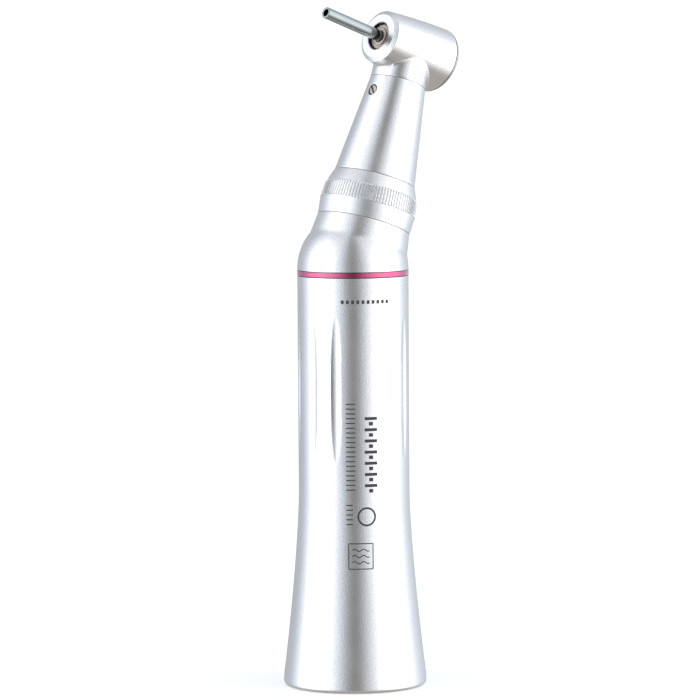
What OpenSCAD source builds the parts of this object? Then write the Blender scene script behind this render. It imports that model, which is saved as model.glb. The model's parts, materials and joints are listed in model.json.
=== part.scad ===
// Dental contra-angle handpiece, standing on its rear rim.
// +Z runs up the handle, the neck leans towards +X and the tool points to -X and up.
// The handle's outlines are turned about Z, the neck's about the bent axis, the head's about the tool.

/* [Handle] */
// Height of the handle sheath, rear rim to colour ring
handle_h = 57.35; // [50:0.05:72]
// Diameter of the straight grip
handle_d = 15.5; // [14.6:0.1:19]
// Diameter of the rear rim
rim_d = 20; // [18:0.1:24]
// Height of the flare above the rear rim
flare_h = 27; // [18:0.5:34]
// Rounding of the rear rim's outer edge
rim_round = 0.6; // [0.2:0.1:0.8]
// Wall of the sheath along the grip
sheath_wall = 1.15; // [0.8:0.05:1.4]
// Width of the colour ring
ring_h = 0.85; // [0.5:0.05:2]
// How far the colour ring stands proud of the grip
ring_proud = 0.04; // [0:0.01:0.2]

/* [Grip flutes] */
// Places for a flute round the grip
flute_places = 13; // [6:1:16]
// First flute's direction, from +X towards +Y, in degrees
flute_start = 183; // [0:1:359]
// Flute middle, below the top of the sheath
flute_drop = 15.5; // [12:0.1:20]
// Length of one flute
flute_len = 20; // [8:0.5:24]
// Depth of one flute in its middle
flute_depth = 0.2; // [0.1:0.05:0.4]
// Cross-wise radius of one flute
flute_r = 1.9; // [1:0.1:3]

/* [Elbow and collar] */
// Angle between the handle and the neck, in degrees
bend = 18.5; // [15:0.5:22]
// Distance along the neck axis, bend to collar seam
collar_s = 6.33; // [6.2:0.01:7]
// Diameter at the collar seam
collar_seam_d = 13.14; // [12.6:0.02:14]
// Length of the collar's smooth band
collar_band = 2.37; // [1.5:0.01:3]
// Length of the collar's knurled band
knurl_h = 2.33; // [1.5:0.01:3]
// Diameter over the knurled band
knurl_d = 13.62; // [13.4:0.02:15]
// Teeth round the knurled band
knurl_teeth = 96; // [40:4:120]
// Length of the collar's bevel, knurl to neck
collar_bevel = 1.81; // [1.2:0.01:2.4]
// Diameter at the thin end of the collar's bevel
collar_end_d = 11.62; // [11.4:0.02:12.4]

/* [Neck] */
// Length of the bare neck, collar to head seam
neck_len = 14.16; // [12:0.02:20]
// Diameter of the neck at the collar
neck_d = 11.5; // [11:0.02:11.6]
// Diameter of the neck at the head seam
neck_end_d = 7.9; // [7.8:0.02:9]
// Screw middle, below the head seam
screw_drop = 2.3; // [2:0.05:3]
// Diameter of the screw's head
screw_d = 1.6; // [1.2:0.1:2]

/* [Head] */
// Distance along the neck axis, head seam to tool axis
head_rise = 5.16; // [5:0.02:6.5]
// Tool axis to the front shoulder of the barrel, along the tool
shoulder_t = 5.13; // [5.1:0.01:6.5]
// Height of the front bevel, shoulder to face
face_bevel = 0.43; // [0.2:0.01:0.8]
// Diameter of the front face
face_d = 6.28; // [5.4:0.02:7]
// Diameter of the barrel at its front shoulder
barrel_front_d = 7.48; // [7.4:0.02:9]
// Diameter of the barrel at the cap seam
barrel_rear_d = 9.26; // [9:0.02:11]
// Bulge of the barrel between its ends
barrel_bulge = 0.12; // [0:0.01:0.2]
// Tool axis crossing to the cap seam, along the tool
cap_t = 5.47; // [5.4:0.01:6.5]
// Thickness of the cap's polished rim
cap_rim_h = 0.65; // [0.4:0.05:1]
// Diameter of the hole in the front face
face_hole_d = 4; // [3.8:0.05:4.6]

/* [Push button] */
// Diameter of the push button
button_d = 6.6; // [5:0.1:7]
// Travel of the push button
button_travel = 0.6; // [0.3:0.05:0.65]
// Height of the button's dome above the cap's rim
button_dome = 0.8; // [0.3:0.05:1.2]

/* [Tool] */
// Diameter of the tool shank
shank_d = 1.6; // [1.5:0.01:1.95]
// Free end of the tool in front of the tool axis crossing
tool_reach = 15.7; // [10:0.1:20]
// Bore in the tool's free end
tool_bore_d = 1; // [0.6:0.05:1.2]
// Depth of the bore in the tool's free end
tool_bore_depth = 6; // [2:0.5:8]

/* [Motor socket] */
// Bore that takes the motor's nose
socket_d = 8; // [6.6:0.05:9.6]
// Depth of the motor socket
socket_len = 33; // [31:0.5:36]
// Length of the socket's fitting bore, from the sleeve's mouth
nose_len = 24; // [18:0.5:24]
// Wall of the motor sleeve
sleeve_wall = 1.2; // [0.6:0.1:1.6]
// Recess of the sleeve's mouth inside the rim
socket_recess = 2; // [1.4:0.1:3]
// Diameter of the drive dog
dog_d = 5.2; // [4.6:0.1:5.8]
// Spring travel of the drive dog
dog_travel = 1.2; // [0.5:0.1:1.3]

/* [Gears] */
// Teeth of the ring gear on the main shaft
ring_teeth = 40; // [36:4:44]
// Teeth of the neck shaft's pinion
neck_teeth = 12; // [12:2:14]
// Teeth of the crown gear
crown_teeth = 18; // [18:2:20]
// Teeth of the spindle's pinion
spindle_teeth = 12; // [12:2:14]
// Distance from the bend to the ring gear's teeth, along a tooth
elbow_mesh = 6.2; // [6:0.05:6.3]

/* [Bearings and fits] */
// Bore of the shaft bearings
shaft_d = 3; // [2.6:0.1:3.4]
// Outer diameter of the shaft bearings
shaft_bearing_d = 8; // [7.4:0.1:8.4]
// Width of the main shaft's bearings
shaft_bearing_w = 3; // [2.5:0.1:3.5]
// Radial clearance of turning fits
turn_fit = 0.05; // [0.03:0.01:0.08]
// Radial clearance of the ball rows
ball_fit = 0.03; // [0.02:0.01:0.06]

/* [Hidden] */
$fn = 64;
eps = 0.02;

// Handle
handle_r = handle_d / 2;
rim_r = rim_d / 2;
bore_r = handle_r - sheath_wall;
ring_z = handle_h + ring_h;
knee_rise = 0.17;
knee_z = ring_z + knee_rise;
flare_power = 1.42;
flare_over = 0.15;
flare_steps = 14;
pocket_wall = 1.4;
pocket_r = rim_r - pocket_wall;
pocket_h = 6.5;
plain_flutes = [2];

// Rear insert and motor socket
insert_proud = 0.8;
insert_z = socket_recess - insert_proud;
sleeve_in_r = socket_d / 2;
sleeve_out_r = sleeve_in_r + sleeve_wall;
sleeve_top = socket_recess + socket_len;
latch_z = 8;
latch_r = 0.22;
seal_r = 0.35;

// Main shaft line, from the dog up to the ring gear
shaft_r = shaft_d / 2;
race_r = shaft_bearing_d / 2;
race_wall = 0.6;
carrier_overlap = 2;
carrier_z = sleeve_top - carrier_overlap;
carrier_lip = 1;
rear_bearing_z = sleeve_top + carrier_lip;
spigot_h = 4.7;
carrier_top = ring_z - spigot_h;
clip_h = 0.5;
clip_lip = 0.5;
front_bearing_z = carrier_top - clip_lip - clip_h - shaft_bearing_w;
dog_r = dog_d / 2;
dog_room = 3;
dog_top = rear_bearing_z - dog_room;
dog_len = 6.5;
dog_slot_w = 1.6;
dog_slot_h = 2.5;
dog_web = 0.6;
dog_z = dog_top - dog_len;
dog_bore_z = dog_z + dog_slot_h + dog_web;
dog_clear = 0.2;
shaft_z = dog_bore_z + dog_travel + dog_clear;
flange_h = 0.4;
flange_lip = 0.55;
flange_r = shaft_r + flange_lip;
dog_wire = 0.2;

// Elbow: the ball sits on the bend and the cone runs up the neck axis
elbow_step = 0.37;
elbow_wall = 0.7;
elbow_in_r = bore_r - elbow_wall;
cavity_s = 4.9;
spigot_r = 5.4;
spigot_s = 10;
carrier_wall = 0.5;
sleeve_fit_r = race_r + carrier_wall + turn_fit;
collar_in_r = spigot_r + turn_fit;

// Bevel gears that meet at the bend
ring_ratio = ring_teeth / neck_teeth;
neck_cone = atan(sin(bend) / (ring_ratio - cos(bend)));
ring_cone = neck_cone + bend;
elbow_add = 1;
elbow_ded = 1.4;
elbow_face = 1.1;
ring_far = elbow_mesh * cos(ring_cone);
cup_lip = 0.12;
cup_z = knee_z + ring_far + cup_lip;
cup_r = 3.5;
cup_floor = 0.9;
hub_r = 2.4;
pinion_far = elbow_mesh * cos(neck_cone);

// Neck, measured along the bent axis from the bend
band_s = collar_s + collar_band;
knurl_s = band_s + knurl_h;
collar_end_s = knurl_s + collar_bevel;
seam_s = collar_end_s + neck_len;
head_s = seam_s + head_rise;
mesh_clear = 0.8;
sleeve_s = elbow_mesh + mesh_clear;
sleeve_r = race_r + carrier_wall;
flange_s = spigot_s + turn_fit;
flange_top = flange_s + 1.05;
journal_r = 5;
journal_gap = 0.05;
tail_r = 4.4;
tail_h = 2.2;
tail_s = collar_end_s + tail_h;
neck_bore_r = 3.4;
stub_len = 4.5;
stub_s = seam_s - stub_len;
stub_wall_out = 0.5;
stub_r = neck_end_d / 2 - stub_wall_out;
low_bearing_s = sleeve_s + 0.5;
low_bearing_w = 2;
top_bearing_s = seam_s - 2;
top_bearing_w = 2;
stub_wall = 0.45;
top_race_r = stub_r - stub_wall;
top_shaft_r = 1;
shaft_mid_r = 1.25;
pinion_bore_r = 0.42;

// Chuck and spindle, measured along the tool from its crossing with the neck axis
shank_r = shank_d / 2;
slip = 0.02;
collet_in_r = shank_r + slip;
collet_wall = 0.16;
collet_r = collet_in_r + collet_wall;
spindle_bore_r = collet_r + slip;
spindle_wall = 0.2;
spindle_r = spindle_bore_r + spindle_wall;
journal_step = 0.38;
front_journal_r = spindle_r + journal_step;
rear_journal_r = 1;
head_race_h = 1.6;
head_race_r = front_journal_r + head_race_h;
head_race_wall = 0.4;
head_bearing_w = 1.7;
head_ball_room = 0.9;
rear_inner_r = head_race_r - 2 * head_race_wall - head_ball_room;
front_bearing_t = shoulder_t - 2.03;
washer_h = 0.15;
rear_bearing_t = -cap_t + 0.57;
cap_skirt_t = rear_bearing_t + head_bearing_w + 0.1;
cap_web_t = rear_bearing_t - 0.1;
cap_wall = 0.68;
cap_skirt_r = head_race_r + cap_wall;
button_r = button_d / 2;
button_fit = 0.1;
button_t = cap_web_t - button_travel - 0.15;
cap_back_t = -cap_t - cap_rim_h;
cap_inset = 0.03;
cap_r = barrel_rear_d / 2 - cap_inset;
cap_slope = 0.3;
rod_r = 0.4;
rod_gap = 0.08;
rod_end_t = button_t + rod_gap;
line_depth = 0.16;
line_w = 0.55;
nose_r = 1.75;
tool_in_t = -0.5;
collet_front_t = front_bearing_t + 1;
tail_front_t = -1.2;
tail_rear_t = -1.65;
spring_bore_r = 0.75;
spring_rear_t = -3.4;

// Bevel gears in the head
spindle_pitch_r = spindle_r + 0.48;
crown_cone = atan(crown_teeth / spindle_teeth);
spindle_cone = 90 - crown_cone;
head_mesh = spindle_pitch_r / sin(spindle_cone);
head_face = 0.38;
head_add = 4.2;
head_ded = 5.3;
crown_lip = 0.14;
crown_r = head_mesh * sin(crown_cone) + crown_lip;
gear_clear = 0.2;
gear_room_r = crown_r + gear_clear;
crown_back = 1;

// Tooth proportions, as shares of the angle from one tooth to the next
tooth_share = 0.4;
tip_share = 0.62;
foot_share = 1.45;

module on_neck(s = 0) {
    translate([0, 0, knee_z]) rotate([0, bend, 0]) translate([0, 0, s]) children();
}

module on_head(t = 0) {
    on_neck(head_s) rotate([0, -90, 0]) translate([0, 0, t]) children();
}

// Plain tube from z = 0 up
module tube(out_r, in_r, h) {
    difference() {
        cylinder(r = out_r, h = h);
        translate([0, 0, -1]) cylinder(r = in_r, h = h + 2);
    }
}

// O-ring or wire ring about Z
module wire_ring(mid_r, wire_r) {
    rotate_extrude() translate([mid_r, 0]) circle(r = wire_r, $fn = 24);
}

// Outer race of a ball bearing, from z = 0 up
module outer_race(out_r, wall, w) {
    tube(out_r, out_r - wall, w);
}

// Inner race of a ball bearing, from z = 0 up
module inner_race(in_r, wall, w) {
    tube(in_r + wall, in_r, w);
}

// Row of balls between two plain races
module ball_row(in_r, out_r, count, w) {
    ball_r = (out_r - in_r) / 2 - ball_fit;
    for (i = [0:count - 1]) {
        rotate([0, 0, i * 360 / count])
            translate([(in_r + out_r) / 2, 0, w / 2])
                sphere(r = ball_r, $fn = 24);
    }
}

// Outline of a toothed wheel with straight flanks, one tooth on the +X line
module tooth_outline(teeth, foot_r, tip_r, foot_half, tip_half) {
    step = 360 / teeth;
    polygon([
        for (i = [0:teeth - 1])
            for (corner = [[foot_r, -foot_half], [tip_r, -tip_half], [tip_r, tip_half], [foot_r, foot_half]])
                let (a = i * step + corner[1])
                    [corner[0] * cos(a), corner[0] * sin(a)]
    ]);
}

// Straight bevel teeth whose flanks all run to the origin, between two distances along Z
module bevel_teeth(teeth, cone, add, ded, near, far, share) {
    half = share * 180 / teeth;
    foot_r = near * tan(cone - ded);
    tip_r = near * tan(cone + add);
    linear_extrude(height = far - near, scale = far / near)
        tooth_outline(teeth, foot_r, tip_r, half * foot_share, half * tip_share);
}

// Coil spring of round wire about Z, with its ends inside the given height
module coil(mid_r, wire_r, turns, h) {
    per_turn = 14;
    sides = 8;
    rings = turns * per_turn;
    climb = (h - 2 * wire_r) / rings;
    points = [
        for (i = [0:rings])
            let (a = i * 360 / per_turn, z = wire_r + i * climb)
                for (k = [0:sides - 1])
                    let (b = k * 360 / sides, r = mid_r + wire_r * cos(b))
                        [r * cos(a), r * sin(a), z + wire_r * sin(b)]
    ];
    walls = [
        for (i = [0:rings - 1])
            for (k = [0:sides - 1])
                let (n = (k + 1) % sides)
                    [i * sides + k, i * sides + n, (i + 1) * sides + n, (i + 1) * sides + k]
    ];
    first = [[for (k = [0:sides - 1]) sides - 1 - k]];
    last = [[for (k = [0:sides - 1]) rings * sides + k]];
    polyhedron(points = points, faces = concat(walls, first, last), convexity = 6);
}

// Radius of the sheath's outside at a height above the rim
function flare_r(z) =
    z >= flare_h ? handle_r
    : min(rim_r, handle_r + (rim_r - handle_r + flare_over) * pow(1 - z / flare_h, flare_power));

module sheath_outline() {
    rim_arc = [for (a = [0:15:75]) [rim_r - rim_round + rim_round * sin(a), rim_round - rim_round * cos(a)]];
    side = [for (i = [1:flare_steps]) let (z = flare_h * i / flare_steps) [flare_r(z), z]];
    polygon(concat([[0, 0]], rim_arc, [[rim_r, rim_round]], side, [[handle_r, handle_h], [0, handle_h]]));
}

// One lens-shaped groove: a round cutter that swings in a long arc
module flute_cut() {
    swing_r = flute_len * flute_len / 8 / flute_depth;
    reach = asin(0.75 * flute_len / swing_r);
    translate([handle_r - flute_depth + flute_r + swing_r, 0, handle_h - flute_drop])
        rotate([90, 0, 0])
            rotate([0, 0, 180 - reach])
                rotate_extrude(angle = 2 * reach, $fn = 720)
                    translate([swing_r, 0]) circle(r = flute_r, $fn = 48);
}

module handle_sheath() {
    color([0.80, 0.80, 0.79])
    difference() {
        rotate_extrude($fn = 96) sheath_outline();
        translate([0, 0, -1]) cylinder(r = bore_r, h = handle_h + 2);
        translate([0, 0, -1]) cylinder(r = pocket_r, h = pocket_h + 1);
        for (i = [0:flute_places - 1])
            if (len(search(i, plain_flutes)) == 0)
                rotate([0, 0, flute_start + i * 360 / flute_places]) flute_cut();
    }
}

module colour_ring() {
    color([0.93, 0.45, 0.55])
    translate([0, 0, handle_h]) tube(handle_r + ring_proud, bore_r, ring_h);
}

// Outer form of the elbow: a ball on the bend that runs into a cone along the neck
module elbow_form() {
    intersection() {
        union() {
            intersection() {
                translate([0, 0, knee_z]) sphere(r = handle_r, $fn = 96);
                on_neck(collar_s - 3 * handle_r) cylinder(r = 2 * handle_r, h = 3 * handle_r);
            }
            on_neck() cylinder(r1 = handle_r - elbow_step, r2 = collar_seam_d / 2, h = collar_s);
        }
        translate([0, 0, ring_z]) cylinder(r = 2 * handle_r, h = 3 * handle_r);
    }
}

module elbow_shell() {
    color([0.80, 0.80, 0.79])
    difference() {
        union() {
            elbow_form();
            translate([0, 0, carrier_top]) cylinder(r = bore_r, h = spigot_h + eps);
            on_neck(collar_s - 1) cylinder(r = spigot_r, h = spigot_s - collar_s + 1);
        }
        translate([0, 0, carrier_top - 1]) cylinder(r = elbow_in_r, h = knee_z - carrier_top + 1);
        translate([0, 0, knee_z]) sphere(r = elbow_in_r, $fn = 96);
        on_neck() cylinder(r = elbow_in_r - 0.1, h = cavity_s);
        translate([0, 0, knee_z]) cylinder(r = cup_r + turn_fit, h = cup_z - knee_z + turn_fit);
        on_neck() cylinder(r = sleeve_fit_r, h = spigot_s + 1);
    }
}

module rear_insert() {
    color([0.55, 0.56, 0.58])
    difference() {
        translate([0, 0, insert_z]) cylinder(r = pocket_r, h = pocket_h - insert_z);
        translate([0, 0, -1]) cylinder(r = sleeve_out_r, h = pocket_h + 2);
        translate([0, 0, insert_z - 1]) cylinder(r = sleeve_out_r + 0.9, h = 1.4);
    }
}

module motor_sleeve() {
    color([0.72, 0.73, 0.75])
    difference() {
        translate([0, 0, socket_recess]) tube(sleeve_out_r, sleeve_in_r, socket_len);
        translate([0, 0, socket_recess + nose_len]) cylinder(r = sleeve_in_r + 0.25, h = socket_len);
        translate([0, 0, latch_z - latch_r]) cylinder(r = sleeve_in_r + 2 * latch_r, h = 2 * latch_r);
        translate([0, 0, socket_recess - 1])
            cylinder(r1 = sleeve_in_r + 1.4, r2 = sleeve_in_r, h = 1.4);
    }
}

// Split wire ring that snaps onto the motor's nose
module latch_ring() {
    color([0.62, 0.60, 0.55])
    translate([0, 0, latch_z])
        difference() {
            wire_ring(sleeve_in_r + latch_r + 0.02, latch_r - 0.02);
            translate([sleeve_in_r, 0, 0]) cube([2 * sleeve_wall, 1, 1], center = true);
        }
}

module rear_seal() {
    color([0.12, 0.12, 0.13])
    translate([0, 0, pocket_h + seal_r]) wire_ring(sleeve_out_r + seal_r, seal_r);
}

module bearing_carrier() {
    color([0.66, 0.67, 0.69])
    difference() {
        translate([0, 0, carrier_z]) cylinder(r = bore_r, h = carrier_top - carrier_z);
        translate([0, 0, carrier_z - 1]) cylinder(r = sleeve_out_r, h = sleeve_top - carrier_z + 1);
        translate([0, 0, carrier_z]) cylinder(r = race_r - race_wall, h = carrier_top - carrier_z + 1);
        translate([0, 0, rear_bearing_z]) cylinder(r = race_r, h = carrier_top - rear_bearing_z + 1);
        translate([0, 0, carrier_top - clip_lip - clip_h]) cylinder(r = race_r + 0.35, h = clip_h);
    }
}

module shaft_outer_races() {
    color([0.78, 0.79, 0.80])
    for (z = [rear_bearing_z, front_bearing_z])
        translate([0, 0, z]) outer_race(race_r, race_wall, shaft_bearing_w);
}

module shaft_balls() {
    color([0.88, 0.88, 0.90])
    for (z = [rear_bearing_z, front_bearing_z])
        translate([0, 0, z]) ball_row(shaft_r + race_wall, race_r - race_wall, 8, shaft_bearing_w);
}

module race_spacer() {
    color([0.60, 0.61, 0.63])
    translate([0, 0, rear_bearing_z + shaft_bearing_w])
        tube(race_r, race_r - race_wall + 0.1, front_bearing_z - rear_bearing_z - shaft_bearing_w);
}

module circlip() {
    color([0.30, 0.30, 0.32])
    translate([0, 0, carrier_top - clip_lip - clip_h])
        difference() {
            tube(race_r + 0.33, race_r - race_wall, clip_h);
            translate([race_r, 0, clip_h / 2]) cube([2, 1.6, 1], center = true);
        }
}

module main_shaft() {
    color([0.70, 0.71, 0.73])
    union() {
        translate([0, 0, shaft_z]) cylinder(r = shaft_r, h = knee_z - 0.4 - shaft_z);
        translate([0, 0, rear_bearing_z - flange_h]) cylinder(r = flange_r, h = flange_h);
        translate([0, 0, rear_bearing_z + shaft_bearing_w])
            cylinder(r = flange_r, h = front_bearing_z - rear_bearing_z - shaft_bearing_w);
    }
}

module shaft_inner_races() {
    color([0.78, 0.79, 0.80])
    for (z = [rear_bearing_z, front_bearing_z])
        translate([0, 0, z]) inner_race(shaft_r, race_wall, shaft_bearing_w);
}

// Cup on the shaft's end with bevel teeth cut inside its mouth
module ring_gear() {
    hub_z = front_bearing_z + shaft_bearing_w;
    room_r = (cup_z - knee_z - elbow_face) * tan(ring_cone + elbow_ded) + 0.06;
    color([0.74, 0.66, 0.48])
    difference() {
        union() {
            translate([0, 0, hub_z]) cylinder(r = hub_r, h = knee_z + 0.4 - hub_z);
            translate([0, 0, knee_z + 0.3]) cylinder(r = cup_r, h = cup_z - knee_z - 0.3);
        }
        translate([0, 0, hub_z - 1]) cylinder(r = shaft_r, h = knee_z - 0.4 - hub_z + 1);
        translate([0, 0, knee_z + 0.3 + cup_floor])
            cylinder(r = room_r, h = cup_z - elbow_face - knee_z - 0.18 - cup_floor);
        translate([0, 0, cup_z - elbow_face])
            bevel_teeth(ring_teeth, ring_cone, elbow_ded, elbow_add, cup_z - elbow_face - knee_z,
                cup_z + 0.3 - knee_z, 1 - tooth_share);
    }
}

// Spring-loaded dog that a fork on the motor turns
module drive_dog() {
    color([0.50, 0.51, 0.53])
    difference() {
        translate([0, 0, dog_z]) cylinder(r = dog_r, h = dog_len);
        translate([0, 0, dog_bore_z]) cylinder(r = shaft_r + turn_fit, h = dog_len);
        translate([0, 0, dog_z]) cube([2 * dog_d, dog_slot_w, 2 * dog_slot_h], center = true);
    }
}

module dog_spring() {
    gap = rear_bearing_z - flange_h - dog_top;
    color([0.75, 0.75, 0.78])
    translate([0, 0, dog_top + 0.04]) coil(flange_r - dog_wire, dog_wire, 3, gap - 0.08);
}

module neck_sleeve() {
    color([0.66, 0.67, 0.69])
    on_neck()
        difference() {
            union() {
                translate([0, 0, sleeve_s]) cylinder(r = sleeve_r, h = flange_s - sleeve_s);
                translate([0, 0, flange_s]) cylinder(r = spigot_r, h = flange_top - flange_s);
                translate([0, 0, flange_top]) cylinder(r = tail_r, h = tail_s - flange_top);
            }
            translate([0, 0, sleeve_s - 1])
                cylinder(r = race_r, h = low_bearing_s + low_bearing_w - sleeve_s + 1);
            translate([0, 0, sleeve_s]) cylinder(r = neck_bore_r, h = tail_s);
            translate([0, 0, flange_s - 0.42]) tube(sleeve_r + 1, sleeve_r - 0.3, 0.36);
        }
}

module neck_shell() {
    color([0.80, 0.80, 0.79])
    on_neck()
        difference() {
            union() {
                translate([0, 0, flange_top]) cylinder(r = journal_r, h = collar_end_s + 0.06 - flange_top);
                translate([0, 0, collar_end_s + 0.06])
                    cylinder(r1 = neck_d / 2, r2 = neck_end_d / 2, h = neck_len - 0.06);
            }
            translate([0, 0, flange_top - 1]) cylinder(r = tail_r, h = tail_s - flange_top + 1);
            translate([0, 0, tail_s - 1]) cylinder(r = neck_bore_r, h = stub_s - tail_s + 2);
            translate([0, 0, stub_s]) cylinder(r = stub_r, h = seam_s - stub_s + 1);
            screw_room();
        }
}

// Stepped hole of the head screw, drilled towards the neck axis
module screw_room() {
    translate([0, 0, seam_s - screw_drop])
        rotate([0, -90, 0]) {
            translate([0, 0, stub_r - 1]) cylinder(r = screw_d / 4 + 0.05, h = 4);
            translate([0, 0, stub_r + 0.2]) cylinder(r = screw_d / 2, h = 3);
        }
}

module sleeve_seal() {
    color([0.12, 0.12, 0.13])
    on_neck(flange_s - 0.24) wire_ring(sleeve_r - 0.13, 0.16);
}

module neck_outer_races() {
    color([0.78, 0.79, 0.80]) {
        on_neck(low_bearing_s) outer_race(race_r, race_wall, low_bearing_w);
        on_neck(top_bearing_s) outer_race(top_race_r, head_race_wall, top_bearing_w);
    }
}

module neck_balls() {
    color([0.88, 0.88, 0.90]) {
        on_neck(low_bearing_s) ball_row(shaft_r + race_wall, race_r - race_wall, 8, low_bearing_w);
        on_neck(top_bearing_s)
            ball_row(top_shaft_r + head_race_wall, top_race_r - head_race_wall, 7, top_bearing_w);
    }
}

// Profile of the collar's outside, without its knurl
module collar_outline() {
    polygon([
        [0, collar_s + 0.04], [collar_seam_d / 2, collar_s + 0.04],
        [knurl_d / 2 - 0.06, band_s], [knurl_d / 2 - 0.2, band_s], [knurl_d / 2 - 0.2, knurl_s],
        [knurl_d / 2 - 0.48, knurl_s], [collar_end_d / 2, collar_end_s], [0, collar_end_s]
    ]);
}

module locking_collar() {
    step = 180 / knurl_teeth;
    color([0.78, 0.78, 0.78])
    on_neck()
        difference() {
            union() {
                rotate_extrude($fn = 96) collar_outline();
                translate([0, 0, band_s])
                    linear_extrude(height = knurl_h)
                        polygon([
                            for (i = [0:2 * knurl_teeth - 1])
                                let (r = knurl_d / 2 - (i % 2) * 0.12)
                                    [r * cos(i * step), r * sin(i * step)]
                        ]);
            }
            translate([0, 0, collar_s - 1]) cylinder(r = collar_in_r, h = flange_top + 0.05 - collar_s + 1);
            translate([0, 0, collar_s]) cylinder(r = journal_r + journal_gap, h = collar_end_s);
        }
}

module neck_shaft() {
    color([0.70, 0.71, 0.73])
    on_neck()
        union() {
            translate([0, 0, pinion_far - 0.3]) cylinder(r = pinion_bore_r, h = sleeve_s - pinion_far + 0.4);
            translate([0, 0, sleeve_s]) cylinder(r = shaft_r, h = low_bearing_s + low_bearing_w - sleeve_s);
            translate([0, 0, low_bearing_s + low_bearing_w])
                cylinder(r = shaft_r + 0.3, h = 1);
            translate([0, 0, low_bearing_s + low_bearing_w])
                cylinder(r = shaft_mid_r, h = top_bearing_s - low_bearing_s - low_bearing_w);
            translate([0, 0, top_bearing_s - 1])
                cylinder(r = top_shaft_r, h = head_s - spindle_pitch_r - 0.6 - top_bearing_s + 1);
        }
}

module neck_inner_races() {
    color([0.78, 0.79, 0.80]) {
        on_neck(low_bearing_s) inner_race(shaft_r, race_wall, low_bearing_w);
        on_neck(top_bearing_s) inner_race(top_shaft_r, head_race_wall, top_bearing_w);
    }
}

module neck_pinion() {
    near = pinion_far - elbow_face + 0.2;
    color([0.74, 0.66, 0.48])
    on_neck()
        difference() {
            union() {
                translate([0, 0, near])
                    bevel_teeth(neck_teeth, neck_cone, elbow_add, elbow_ded, near, pinion_far, tooth_share);
                translate([0, 0, near])
                    cylinder(r = near * tan(neck_cone - elbow_ded), h = pinion_far + 0.3 - near);
            }
            translate([0, 0, pinion_far - 0.3]) cylinder(r = pinion_bore_r, h = 2);
        }
}

module crown_gear() {
    far = head_mesh * cos(crown_cone);
    near = (head_mesh - head_face) * cos(crown_cone);
    disc_r = (head_mesh + 0.02) * sin(crown_cone - head_ded);
    back_s = -far - crown_back;
    color([0.74, 0.66, 0.48])
    on_neck(head_s)
        difference() {
            union() {
                intersection() {
                    rotate([180, 0, 0])
                        translate([0, 0, near - 0.3])
                            bevel_teeth(crown_teeth, crown_cone, head_add, head_ded, near - 0.3,
                                far + 0.3, tooth_share);
                    crown_blank();
                }
                translate([0, 0, back_s])
                    cylinder(r = disc_r, h = crown_back - 0.25);
                translate([0, 0, back_s - 0.9]) cylinder(r = top_shaft_r + 0.55, h = 1);
            }
            translate([0, 0, back_s - 2])
                cylinder(r = top_shaft_r, h = far - spindle_pitch_r + crown_back + 1.4);
        }
}

// Stock of the crown gear's teeth: between two cones that are square to the pitch line
module crown_blank() {
    tip = crown_cone + head_add;
    foot = crown_cone - head_ded;
    inner = head_mesh - head_face;
    foot_far = head_mesh * cos(foot) + 0.1;
    rotate_extrude()
        polygon([
            [inner * sin(tip), -inner * cos(tip)],
            [crown_r, -head_mesh * cos(tip)],
            [crown_r, -head_mesh * cos(tip) - 0.4],
            [head_mesh * sin(foot), -foot_far],
            [inner * sin(foot), -foot_far]
        ]);
}

// Radius of the barrel's outside at a place along the tool
function barrel_r(t) =
    let (u = (shoulder_t - t) / (shoulder_t + cap_t))
        (barrel_front_d * (1 - u) + barrel_rear_d * u) / 2 + barrel_bulge * 4 * u * (1 - u);

module barrel_outline() {
    steps = 8;
    polygon(concat(
        [[0, shoulder_t + face_bevel], [face_d / 2, shoulder_t + face_bevel]],
        [for (i = [0:steps]) let (t = shoulder_t - (shoulder_t + cap_t) * i / steps) [barrel_r(t), t]],
        [[0, -cap_t]]
    ));
}

module head_shell() {
    lip_t = front_bearing_t + head_bearing_w + washer_h;
    color([0.80, 0.80, 0.79])
    difference() {
        union() {
            on_head() rotate_extrude($fn = 96) barrel_outline();
            on_neck(seam_s + 0.02) cylinder(r = neck_end_d / 2, h = head_rise - 1);
            on_neck(stub_s) cylinder(r = stub_r, h = seam_s - stub_s + 1);
        }
        on_head(-cap_t - 1) cylinder(r = cap_skirt_r, h = cap_t + 1 + cap_skirt_t);
        on_head(-cap_t) cylinder(r = head_race_r - 0.18, h = cap_t + front_bearing_t);
        on_head(front_bearing_t - 0.1) cylinder(r = head_race_r, h = lip_t - front_bearing_t + 0.1);
        on_head() cylinder(r = face_hole_d / 2, h = 2 * shoulder_t);
        on_neck(seam_s + 1) cylinder(r = gear_room_r, h = head_rise - 1);
        on_neck(stub_s - 1) cylinder(r = top_race_r - head_race_wall, h = head_rise + 4);
        on_neck(stub_s - 1) cylinder(r = top_race_r, h = seam_s - stub_s + 1);
        on_neck() screw_room();
    }
}

module head_screw() {
    slot_w = 0.3;
    color([0.72, 0.60, 0.36])
    on_neck(seam_s - screw_drop)
        rotate([0, -90, 0])
            difference() {
                union() {
                    translate([0, 0, top_race_r + 0.05])
                        cylinder(r = screw_d / 4 + 0.05, h = stub_r - top_race_r + 0.2);
                    translate([0, 0, stub_r + 0.2]) cylinder(r = screw_d / 2, h = 0.62);
                }
                translate([0, 0, stub_r + 0.82]) cube([slot_w, 2 * screw_d, 0.6], center = true);
            }
}

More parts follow.
